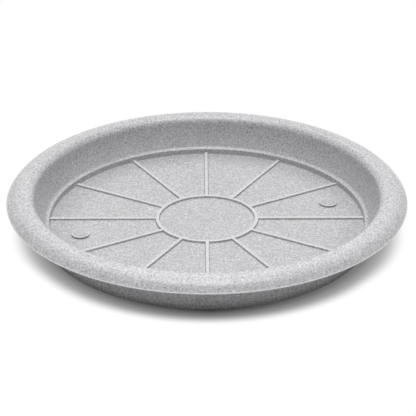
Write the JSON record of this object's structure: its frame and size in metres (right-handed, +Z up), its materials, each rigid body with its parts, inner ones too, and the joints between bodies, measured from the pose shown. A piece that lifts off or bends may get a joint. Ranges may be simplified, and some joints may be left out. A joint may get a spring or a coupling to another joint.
{
  "type": "round plant saucer",
  "caption": "Shallow round plant saucer with a rolled rim, radial ribs and a hub ring on its floor, and push-in drain plugs that lift out.",
  "frame": {"origin": "on the ground, under the middle of the tray", "axes": "+Z up along the axis the tray is turned about, the picture's viewer stands towards -Y, +X to the viewer's right"},
  "size_m": [0.3, 0.3, 0.0344],
  "materials": {
    "stone_plastic": "matte light grey moulded plastic with a fine granite speckle",
    "plug_plastic": "matte light grey moulded plastic with a fine granite speckle"
  },
  "bodies": {
    "tray": {"tray": "stone_plastic"},
    "drain_plug_right": {"drain_plug_right": "plug_plastic"},
    "drain_plug_left": {"drain_plug_left": "plug_plastic"}
  },
  "joints": [
    {"name": "right_plug_lift", "type": "slide", "parent": "tray", "child": "drain_plug_right", "axis": [0, 0, 1], "range_m": [0, 0.035]},
    {"name": "left_plug_lift", "type": "slide", "parent": "tray", "child": "drain_plug_left", "axis": [0, 0, 1], "range_m": [0, 0.035]}
  ]
}
